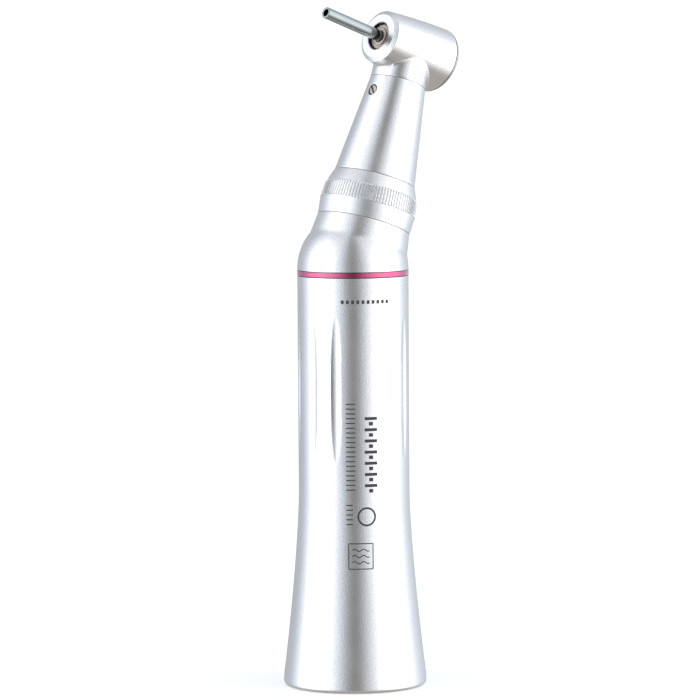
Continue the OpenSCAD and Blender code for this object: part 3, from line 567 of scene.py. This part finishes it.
def make_marks():
    """Plain printed marks on the side towards the camera: dashes, bars, a ring and a framed square of waves."""
    bm = bmesh.new()
    for k in range(10):
        add_stroke(bm, [(-1.7 + k * 0.72, 54.1), (-1.3 + k * 0.72, 54.1)], 0.5)
    for k in range(7):
        z = 38 - k * 1.55
        add_stroke(bm, [(1.5, z), (3.3, z)], 0.42)
        add_stroke(bm, [(2.1, z - 0.72), (2.7, z - 0.72)], 0.5)
    for k in range(19):
        z = 40 - k * 0.66
        add_stroke(bm, [(-1.1, z), (0.2, z)], 0.16)
    for k in range(5):
        z = 26 - k * 0.66
        add_stroke(bm, [(-1.1, z), (-0.2, z)], 0.16)
    ring = [(1.75 + 1.2 * cos(a), 24.4 + 1.2 * sin(a)) for a in stretch(0, FULL_TURN, 0.3)]
    add_stroke(bm, ring, 0.26)
    for start, end in (((-0.8, 20.7), (2.6, 20.7)), ((-0.8, 17.2), (2.6, 17.2)), ((-0.8, 20.7), (-0.8, 17.2)),
                       ((2.6, 20.7), (2.6, 17.2))):
        add_stroke(bm, [start, end], 0.14)
    for k in range(3):
        wave = [(-0.3 + u, 18.1 + k * 0.85 + 0.16 * sin(u * 5)) for u in stretch(0, 2.4, 0.2)]
        add_stroke(bm, wave, 0.14)
    bmesh.ops.recalc_face_normals(bm, faces=bm.faces)
    add_piece("printed_marks", bm, "handle", "black_rubber", INK)


def make_elbow():
    """Ball on the bend that blends into a cone along the neck, with the spigot that carries the neck."""
    ball_r, cone_low_r, crease_blend = GRIP_R, 7.38, 0.1
    inner_r, sleeve_r, low = 5.9, 4.55, -4

    def outside(s):
        ball = sqrt(max(0, ball_r ** 2 - s ** 2))
        cone = cone_low_r + (COLLAR_SEAM_R - cone_low_r) * s / (COLLAR_LOW - 0.04)
        gap = max(crease_blend - abs(ball - cone), 0)
        return max(ball, cone if s > 1 else 0) + (gap * gap / crease_blend / 4 if s > 1 else 0)

    top = COLLAR_LOW - 0.04
    outer = [(outside(s), s) for s in stretch(low, top - 0.1, 0.25)]
    neck = rounded([(outside(top), 0, 0), (outside(top), top, 0.05), (SPIGOT_R, top, 0),
                    (SPIGOT_R, SPIGOT_TOP, 0.15), (sleeve_r, SPIGOT_TOP, 0.1), (sleeve_r, 0, 0)])[1:-1]
    mouth = asin(sleeve_r / inner_r)
    swing = acos(low / inner_r)
    inner = [(inner_r * sin(a), inner_r * cos(a)) for a in stretch(mouth, swing, 0.06)]
    bm = moved(turned(outer + neck + inner, 160), NECK)
    cut_z = RING_TOP * MM
    split = bmesh.ops.bisect_plane(bm, geom=bm.verts[:] + bm.edges[:] + bm.faces[:], dist=1e-8,
                                   plane_co=(0, 0, cut_z), plane_no=(0, 0, 1), clear_inner=True)
    rim = [e for e in split["geom_cut"] if isinstance(e, bmesh.types.BMEdge)]
    bmesh.ops.bridge_loops(bm, edges=rim)
    bmesh.ops.recalc_face_normals(bm, faces=bm.faces)
    add_piece("elbow", bm, "handle", "satin_shell", SHELL, "elbow_shell")


# ---------------------------------------------------------------- collar and neck

TOOTH_COLUMNS = 6
TOOTH_FORM = (0, 0.05, 0.75, 1, 0.75, 0.05)
KNURL_DEPTH = 0.22
KNURL_RUNOUT = 0.35
KNURL_ROLL = 0.35
KNURL_TAPER = 0.2


def knurl_crest(z):
    """Radius over the ridges: they roll off towards the bevel and a little towards the band."""
    up = max(0, z - KNURL_TOP + KNURL_ROLL) / KNURL_ROLL
    down = max(0, BAND_TOP + 0.15 - z) / 0.15
    taper = KNURL_TAPER * (z - BAND_TOP) / (KNURL_TOP - BAND_TOP)
    return KNURL_R - taper - 0.12 * (1 - sqrt(1 - min(1, up) ** 2 * 0.99)) - 0.05 * down ** 2


def make_collar():
    """Turned collar with a band of fine axial ridges, each rounded off at its ends."""
    bore_r, low_bore_r, low_bore_top, bevel_end_r = 5.05, 5.45, 11.15, 5.84
    band = rounded([(bore_r, 0, 0), (low_bore_r, COLLAR_LOW, 0.05), (COLLAR_SEAM_R, COLLAR_LOW, 0.05),
                    (KNURL_R - 0.05, BAND_TOP, 0.04), (KNURL_R - 0.1, BAND_TOP + 0.04, 0)])[1:]
    rows = [(knurl_crest(z), z) for z in stretch(BAND_TOP + 0.06, KNURL_TOP, 0.08)]
    top = rounded([(KNURL_R, 0, 0), (knurl_crest(KNURL_TOP) - 0.04, KNURL_TOP + 0.04, 0.02),
                   (bevel_end_r, COLLAR_HIGH, 0.1), (bore_r, COLLAR_HIGH, 0.05),
                   (bore_r, low_bore_top, 0), (low_bore_r, low_bore_top, 0), (low_bore_r, 0, 0)])[1:-1]
    bm = turned(band + rows + top, KNURL_TEETH * TOOTH_COLUMNS)
    step = FULL_TURN / KNURL_TEETH / TOOTH_COLUMNS
    for v in bm.verts:
        r, z = v.co.xy.length / MM, v.co.z / MM
        if not BAND_TOP + 0.05 < z < KNURL_TOP + 0.01 or abs(r - knurl_crest(z)) > 0.001:
            continue
        phase = round(atan2(v.co.y, v.co.x) / step) % TOOTH_COLUMNS
        from_end = min(z - BAND_TOP - 0.06, KNURL_TOP - z)
        run = min(1, max(0, from_end / KNURL_RUNOUT))
        sunk = KNURL_DEPTH * TOOTH_FORM[phase] * sqrt(run * (2 - run))
        v.co.xy *= (r - sunk) / r
    add_piece("locking_collar_shell", moved(bm, NECK), "collar", "satin_collar", COLLAR, "locking_collar")


def across_neck(s):
    """Place whose Z points out of the neck's tool side at a distance along the neck."""
    return NECK @ Matrix.Translation((0, 0, s * MM)) @ Matrix.Rotation(-pi / 2, 4, "Y")


def cone_r(s):
    return NECK_R + (NECK_TIP_R - NECK_R) * (s - COLLAR_HIGH) / (SEAM - COLLAR_HIGH)


POCKET_GAP = 0.02


def screw_pocket():
    floor = NECK_TIP_R - 0.3
    hole_r = SCREW_R / 2 + 0.05
    points = rounded([(0, floor - 1.3, 0), (hole_r, floor - 1.3, 0), (hole_r, floor, 0),
                      (SCREW_R + POCKET_GAP, floor, 0), (SCREW_R + POCKET_GAP, floor + 3, 0), (0, floor + 3, 0)])
    return moved(turned(points, 64), across_neck(SCREW_S))


def make_neck():
    journal_r, tail_r, tail_top, bore_r, stub_low, stub_r = 5, 4.4, 15.04, 3.4, SEAM - 4.5, 3.45
    foot = COLLAR_HIGH + 0.06
    rows = [(cone_r(s), s) for s in stretch(foot + 0.3, SEAM - 0.2, 0.5)]
    base = rounded([(tail_r, NECK_LOW, 0), (journal_r, NECK_LOW, 0.05), (journal_r, foot, 0),
                    (cone_r(foot), foot, 0.05), (cone_r(foot + 2), foot + 2, 0)])[:-1]
    tip = rounded([(cone_r(SEAM - 2), SEAM - 2, 0), (NECK_TIP_R, SEAM, 0.05), (stub_r, SEAM, 0.03),
                   (stub_r, stub_low, 0), (bore_r, stub_low, 0), (bore_r, tail_top, 0),
                   (tail_r, tail_top, 0)])[1:]
    blank = moved(turned(base + rows + tip, 144), NECK)
    bm = carved(blank, ("DIFFERENCE", screw_pocket()))
    # The pocket's walls round the screw get the near-black lining: a painted shadow in the gap.
    line_with_painted_shade(bm, across_neck(SCREW_S), SCREW_R + POCKET_GAP + 0.001, 0, cone_r(SCREW_S))
    add_piece("neck_cone", bm, "neck", "satin_shell", (SHELL, PAINTED_SHADE_LINING), "neck_shell")


def make_screw():
    """Slotted cheese-head screw, its slot left at the angle where it came tight."""
    floor = NECK_TIP_R - 0.27
    head_r, shank_r, head_h, root = SCREW_R - 0.1, SCREW_R / 2, 0.5, 3.05
    points = rounded([(0, root, 0), (shank_r, root, 0.05), (shank_r, floor, 0), (head_r, floor, 0.03),
                      (head_r, floor + head_h, 0.1), (0, floor + head_h, 0)])
    blank = turned(points, 64)
    slot = bmesh.new()
    size = Matrix.Diagonal((2.2 * SCREW_R * MM, 0.28 * MM, 0.6 * MM, 1))
    lift = Matrix.Translation((0, 0, (floor + head_h) * MM))
    bmesh.ops.create_cube(slot, size=1, matrix=lift @ Matrix.Rotation(radians(40), 4, "Z") @ size)
    bm = moved(carved(blank, ("DIFFERENCE", slot)), across_neck(SCREW_S))
    add_piece("slotted_screw", bm, "neck", "brass_screw", BRASS, "head_screw")


# ---------------------------------------------------------------- head

def barrel_r(t):
    u = (SHOULDER - t) / (SHOULDER - CAP_SEAM)
    return BARREL_FRONT_R * (1 - u) + BARREL_REAR_R * u + BARREL_BULGE * 4 * u * (1 - u)


def cylinder(r, low, high, place, columns=96):
    return moved(turned([(0, low), (r, low), (r, high), (0, high)], columns), place)


FILLET = 0.85
SINK = 0.012
STUB_COLUMNS = 144
ARC_STEPS = 8


def underside(girth, turn):
    """Height of the barrel's underside over a place on the neck's cross-section, along the neck."""
    across = girth * sin(turn)
    t = min(SHOULDER, max(CAP_SEAM, -girth * cos(turn)))
    return HEAD_S - sqrt(max(0, (barrel_r(t) - SINK) ** 2 - across ** 2))


def fillet_arc(turn):
    """Arc that leaves the stub's side and meets the barrel smoothly, in the plane of one direction."""
    centre_r = NECK_TIP_R + FILLET
    limit = (BARREL_REAR_R - 0.01) / max(0.001, abs(sin(turn)))
    samples = [r for r in stretch(NECK_TIP_R - 0.9, centre_r + 0.2, 0.012) if r < limit]
    roof = [(r, underside(r, turn)) for r in samples]
    low, high = HEAD_S - 8, HEAD_S
    for _ in range(30):
        middle = (low + high) / 2
        if min((r - centre_r) ** 2 + (s - middle) ** 2 for r, s in roof) > FILLET ** 2:
            low = middle
        else:
            high = middle
    r_touch, s_touch = min(roof, key=lambda at: (at[0] - centre_r) ** 2 + (at[1] - low) ** 2)
    end = atan2(s_touch - low, r_touch - centre_r)
    return [(centre_r + FILLET * cos(pi + (end - pi) * k / ARC_STEPS), low + FILLET * sin(pi + (end - pi) * k / ARC_STEPS))
            for k in range(ARC_STEPS + 1)]


def stub_blank(low):
    """The neck's stub on the head, with a soft fillet where it grows into the barrel."""
    bm = bmesh.new()
    rings = []
    for k in range(STUB_COLUMNS):
        turn = FULL_TURN * k / STUB_COLUMNS
        arc = fillet_arc(turn)
        start = arc[0][1]
        side = [(NECK_TIP_R - 0.05, low), (NECK_TIP_R - 0.015, low + 0.015), (NECK_TIP_R, low + 0.05)]
        side += [(NECK_TIP_R, low + 0.05 + (start - low - 0.05) * step / 6) for step in range(1, 6)]
        points = side + arc + [(arc[-1][0] * 0.96, arc[-1][1] + 0.3), (1.5, HEAD_S - 0.5)]
        rings.append([bm.verts.new((r * cos(turn) * MM, r * sin(turn) * MM, s * MM)) for r, s in points])
    for here, there in zip(rings, rings[1:] + rings[:1]):
        for a, b, c, d in zip(here, there, there[1:], here[1:]):
            bm.faces.new((a, b, c, d))
    bm.faces.new([ring[0] for ring in reversed(rings)])
    bm.faces.new([ring[-1] for ring in rings])
    bmesh.ops.recalc_face_normals(bm, faces=bm.faces)
    return moved(bm, NECK)


def make_head():
    """Barrel with a bevelled face and the neck's stub grown into it, hollow for the spindle."""
    sides = [(barrel_r(t), t) for t in stretch(CAP_SEAM + 0.12, SHOULDER - 0.12, 0.4)]
    tail = rounded([(0, CAP_SEAM, 0), (BARREL_REAR_R, CAP_SEAM, 0.06), (BARREL_REAR_R, 0, 0)])[:-1]
    face = rounded([(BARREL_FRONT_R, 0, 0), (BARREL_FRONT_R, SHOULDER, 0.05), (FACE_R, FACE, 0.06),
                    (0, FACE, 0)])[1:]
    barrel = moved(turned(tail + sides + face, 160), HEAD)
    low = SEAM + 0.03
    spigot_low, spigot_r, race_r = SEAM - 4.5, 3.45, 3
    hole = rounded([(0, 0, 0), (FACE_HOLE_R, 0, 0), (FACE_HOLE_R, FACE - 0.1, 0), (FACE_HOLE_R + 0.12, FACE + 0.02, 0),
                    (0, FACE + 0.02, 0)])
    bm = carved(
        barrel,
        ("UNION", stub_blank(low)),
        ("DIFFERENCE", cylinder(3.8, CAP_SEAM - 1, CAP_SKIRT, HEAD)),
        ("DIFFERENCE", cylinder(2.95, CAP_SEAM - 1, 4.95, HEAD)),
        ("DIFFERENCE", moved(turned(hole, 96), HEAD)),
        ("DIFFERENCE", cylinder(2.62, SEAM - 1, HEAD_S, NECK)),
    )
    bmesh.ops.recalc_face_normals(bm, faces=bm.faces)
    # The head's hollow inside, seen through the face hole, gets the near-black lining: painted shade on the hole's
    # wall.
    line_with_painted_shade(bm, HEAD, 2.99, CAP_SEAM, FACE - 0.08)
    add_piece("head_barrel", bm, "neck", "satin_shell", (SHELL, PAINTED_SHADE_LINING), "head_shell")
    sleeve = turned([(race_r, spigot_low), (spigot_r, spigot_low), (spigot_r, SEAM + 0.5), (race_r, SEAM + 0.5)], 96)
    hole = cylinder(SCREW_R / 2 + 0.05, 2, 5, across_neck(SCREW_S), 48)
    bm = carved(moved(sleeve, NECK), ("DIFFERENCE", hole))
    add_piece("head_spigot", bm, "neck", "satin_shell", SHELL)


def make_cap():
    """Polished cap: a skirt inside the barrel, a thin rim behind it and a bore for the button."""
    rim_r, seam_r = BARREL_REAR_R - 0.03, BARREL_REAR_R - 0.22
    skirt_r, race_r, web_r, button_bore = 3.78, 3.13, 2.73, BUTTON_R + 0.1
    web_low, web_high = CAP_LOW + 1.12, CAP_LOW + 1.22
    points = rounded([
        (button_bore, CAP_LOW, 0.08), (rim_r - 0.3, CAP_LOW, 0.12), (rim_r, CAP_SEAM - 0.16, 0.04),
        (rim_r, CAP_SEAM - 0.12, 0), (seam_r, CAP_SEAM - 0.1, 0), (seam_r, CAP_SEAM, 0), (skirt_r, CAP_SEAM, 0),
        (skirt_r, CAP_SKIRT, 0.05), (race_r, CAP_SKIRT, 0.03), (race_r, web_high, 0), (web_r, web_high, 0),
        (web_r, web_low, 0), (button_bore, web_low, 0)])
    bm = moved(turned(points, 160), HEAD)
    # The seam groove behind the rim gets the near-black lining: a painted shade line.
    line_with_painted_shade(bm, HEAD, rim_r - 0.02, CAP_SEAM - 0.13, CAP_SEAM + 0.01)
    add_piece("rear_cap", bm, "neck", "polished_rim", (RIM, PAINTED_SHADE_LINING), "head_cap")


def make_button():
    """Domed push button with a rolled edge, a turned line near it and a shallow thumb dish."""
    face, dome, top = CAP_LOW + 0.1, 0.8, reach("push_button", HEAD)[1]
    dome_r = (BUTTON_R ** 2 + dome ** 2) / 2 / dome
    line_r, line_w, line_d, dish_r, dish_d = 2.45, 0.14, 0.07, 1.7, 0.16

    def rise(r):
        height = sqrt(dome_r ** 2 - r ** 2) - (dome_r - dome)
        line = line_d if abs(r - line_r) < line_w / 2 else 0
        dish = dish_d * (1 + cos(pi * r / dish_r)) / 2 if r < dish_r else 0
        return face - height + line + dish

    crown = [(r, rise(r)) for r in stretch(0, BUTTON_R - 0.12, 0.07)]
    edge = rounded([(BUTTON_R - 0.3, rise(BUTTON_R - 0.3), 0), (BUTTON_R, face - 0.02, 0.09),
                    (BUTTON_R, top - 0.28, 0), (BUTTON_R - 0.14, top - 0.28, 0), (BUTTON_R - 0.14, top - 0.08, 0),
                    (BUTTON_R, top - 0.08, 0), (BUTTON_R, top - 0.03, 0.02), (0, top - 0.03, 0)])[1:]
    add_piece("domed_button", moved(turned(crown + edge, 128), HEAD), "button", "satin_shell", SHELL,
              "push_button")


def make_chuck_nose():
    """Stepped ring in the mouth of the head, with fine turned rings on its face."""
    low, high = reach("chuck_nose", HEAD)
    bore_r, step_r, rim_r, step = 0.86, 1.3, 1.75, low + 0.3
    points = rounded([
        (bore_r, low, 0), (rim_r, low, 0.03), (rim_r, step, 0.05), (1.62, step, 0.02), (1.6, step - 0.07, 0),
        (1.52, step - 0.07, 0), (1.5, step, 0.02), (step_r, step, 0.04), (step_r, high - 0.05, 0.05),
        (1.16, high, 0.02), (1.14, high - 0.06, 0), (1.06, high - 0.06, 0), (1.04, high, 0.02),
        (bore_r, high, 0.05)])
    add_piece("stepped_chuck_ring", moved(turned(points, 128), HEAD), "chuck", "brass_screw", CHAMPAGNE,
              "chuck_nose")


def make_pin():
    """Blank pin, hollow at its free end, with the line that shows it is fully home."""
    bore_r, bore_low, line_r, line_low, line_high = 0.5, PIN_TIP - 6, 0.77, FACE + 0.04 - 0.55, FACE + 0.04
    points = rounded([
        (0, PIN_END, 0), (PIN_R, PIN_END, 0.1), (PIN_R, line_low, 0.02), (line_r, line_low + 0.03, 0),
        (line_r, line_high - 0.03, 0), (PIN_R, line_high, 0.02), (PIN_R, PIN_TIP, 0.09),
        (bore_r, PIN_TIP, 0.09), (bore_r, bore_low, 0), (0, bore_low - 0.3, 0)])
    add_piece("hollow_pin", moved(turned(points, 96), HEAD), "tool", "pin_steel", PIN, "test_pin")


make_handle_sheath()
make_colour_ring()
make_marks()
make_elbow()
make_collar()
make_neck()
make_screw()
make_head()
make_cap()
make_button()
make_chuck_nose()
make_pin()

# ---------------------------------------------------------------- finishes of the CAD nodes that stay

SLOT_FINISH = {
    "satin_shell": SHELL, "satin_collar": COLLAR, "pink_ring": PINK, "polished_rim": RIM,
    "turned_steel": STEEL, "bearing_steel": RACE, "gear_bronze": BRONZE, "brass_screw": BRASS,
    "spring_steel": SPRING, "black_rubber": RUBBER, "pin_steel": PIN,
}


def cad_slot(piece):
    """Slot of a carried-over CAD node, read from the material that came with it."""
    return piece.material_slots[0].material.name.split(".")[0]


for name, piece in frame["nodes"].items():
    slot = cad_slot(piece)
    for holder in piece.material_slots:
        holder.material = SLOT_FINISH.get(slot, STEEL)


# ---------------------------------------------------------------- studio

WALL_STOPS = (
    # angle from the camera's side in degrees, brightness, warmth
    (-180, 0.5, -0.02), (-142, 0.6, -0.05), (-131, 0.6, -0.07), (-122, 0.76, -0.08), (-112, 1.0, -0.08),
    (-100, 1.5, -0.03), (-72, 2.2, 0.0), (-46, 1.6, -0.01), (-34, 1.2, -0.06), (-24, 0.85, -0.09), (-14, 0.46, -0.03),
    (-5, 0.24, 0.03), (5, 0.24, 0.04), (14, 0.46, -0.01), (24, 0.85, -0.05), (34, 1.2, -0.04), (46, 1.6, 0.0),
    (72, 2.2, 0.0), (108, 1.5, -0.03), (118, 1.15, -0.07), (128, 0.95, -0.08), (145, 0.78, -0.06),
    (160, 0.7, -0.05), (180, 0.5, -0.02),
)
BRIGHTEST = 2.2
CEILING = (0.86, 0.9, 0.97)
GROUND = (0.5, 0.46, 0.43)


def make_world():
    """Soft studio: a white room with a dark strip on the camera's side and greyer walls behind."""
    world = bpy.data.worlds.new("studio")
    bpy.context.scene.world = world
    world.use_nodes = True
    tree = world.node_tree
    tree.nodes.clear()
    way = node(tree, "ShaderNodeTexCoord").outputs["Generated"]
    turned_way = node(tree, "ShaderNodeVectorRotate", {"Vector": way, "Angle": -VIEW_TURN}, rotation_type="Z_AXIS")
    split = node(tree, "ShaderNodeSeparateXYZ", {"Vector": turned_way.outputs[0]})
    angle = math_node(tree, "ARCTAN2", split.outputs["Y"], split.outputs["X"])
    place = ranged(tree, angle, 0.0, 1.0, -pi, pi)
    ramp = node(tree, "ShaderNodeValToRGB", {"Fac": place})
    stops = ramp.color_ramp.elements
    while len(stops) < len(WALL_STOPS):
        stops.new(0.5)
    for stop, (degrees, light, warm) in zip(stops, WALL_STOPS):
        stop.position = (degrees + 180) / 360
        level = light / BRIGHTEST
        stop.color = (level * (1 + warm), level, level * (1 - 1.5 * warm), 1)
    walls = node(tree, "ShaderNodeVectorMath", {0: ramp.outputs["Color"], "Scale": BRIGHTEST}, operation="SCALE")
    to_ceiling = ranged(tree, split.outputs["Z"], 0.0, 1.0, 0.4, 0.9)
    to_ground = ranged(tree, split.outputs["Z"], 1.0, 0.0, -0.75, -0.3)
    roofed = node(tree, "ShaderNodeMix", {"Factor": to_ceiling}, data_type="RGBA", blend_type="DARKEN")
    tree.links.new(walls.outputs[0], roofed.inputs["A"])
    roofed.inputs["B"].default_value = (*CEILING, 1)
    whole = node(tree, "ShaderNodeMix", {"Factor": to_ground}, data_type="RGBA")
    tree.links.new(roofed.outputs["Result"], whole.inputs["A"])
    whole.inputs["B"].default_value = (*GROUND, 1)
    lit = node(tree, "ShaderNodeBackground", {"Color": whole.outputs["Result"], "Strength": 1.0})
    white = node(tree, "ShaderNodeBackground", {"Color": (1, 1, 1, 1), "Strength": 1.05})
    seen = node(tree, "ShaderNodeLightPath").outputs["Is Camera Ray"]
    both = node(tree, "ShaderNodeMixShader", {0: seen, 1: lit.outputs[0], 2: white.outputs[0]})
    node(tree, "ShaderNodeOutputWorld", {"Surface": both.outputs[0]})


def make_floor():
    bm = bmesh.new()
    bmesh.ops.create_circle(bm, cap_ends=True, segments=96, radius=0.5)
    floor = as_object(bm, "floor")
    material, tree, shader = finish("pale_floor")
    at = node(tree, "ShaderNodeTexCoord").outputs["Object"]
    soft = node(tree, "ShaderNodeTexNoise", {"Vector": at, "Scale": 20.0})
    pale = mixed(tree, soft.outputs["Fac"], (0.93, 0.93, 0.93), (0.96, 0.96, 0.96))
    tree.links.new(pale, shader.inputs["Base Color"])
    tree.links.new(pale, shader.inputs["Emission Color"])
    shader.inputs["Emission Strength"].default_value = 0.3
    shader.inputs["Roughness"].default_value = 0.5
    shader.inputs["Specular IOR Level"].default_value = 0.2
    clear = node(tree, "ShaderNodeBsdfTransparent")
    path = node(tree, "ShaderNodeLightPath")
    out = tree.nodes["Material Output"]
    both = node(tree, "ShaderNodeMixShader",
                {0: path.outputs["Is Glossy Ray"], 1: shader.outputs[0], 2: clear.outputs[0]})
    tree.links.new(both.outputs[0], out.inputs["Surface"])
    floor.data.materials.append(material)


CAMERA_FAR = 0.56
CAMERA_TURN = radians(-41)
CAMERA_AIM = radians(0.0476)
CAMERA_PITCH = radians(4.53)
CAMERA_ROLL = radians(-0.345)
CAMERA_HEIGHT = 0.09128


def make_camera():
    lens = bpy.data.cameras.new("camera")
    lens.lens = 207.03
    lens.sensor_width = 36
    lens.clip_start = 0.01
    camera = bpy.data.objects.new("camera", lens)
    bpy.context.scene.collection.objects.link(camera)
    place = Vector((sin(CAMERA_TURN) * CAMERA_FAR, -cos(CAMERA_TURN) * CAMERA_FAR, CAMERA_HEIGHT))
    way = CAMERA_TURN + CAMERA_AIM
    level = Vector((-sin(way), cos(way), 0))
    ahead = level * cos(CAMERA_PITCH) - Vector((0, 0, sin(CAMERA_PITCH)))
    right = ahead.cross(Vector((0, 0, 1))).normalized()
    up = right.cross(ahead)
    turned_right = right * cos(CAMERA_ROLL) + up * sin(CAMERA_ROLL)
    turned_up = up * cos(CAMERA_ROLL) - right * sin(CAMERA_ROLL)
    turn = Matrix((turned_right, turned_up, -ahead)).transposed().to_4x4()
    camera.matrix_world = Matrix.Translation(place) @ turn
    bpy.context.scene.camera = camera


make_world()
make_floor()
make_camera()
bpy.context.scene.view_settings.view_transform = "Standard"
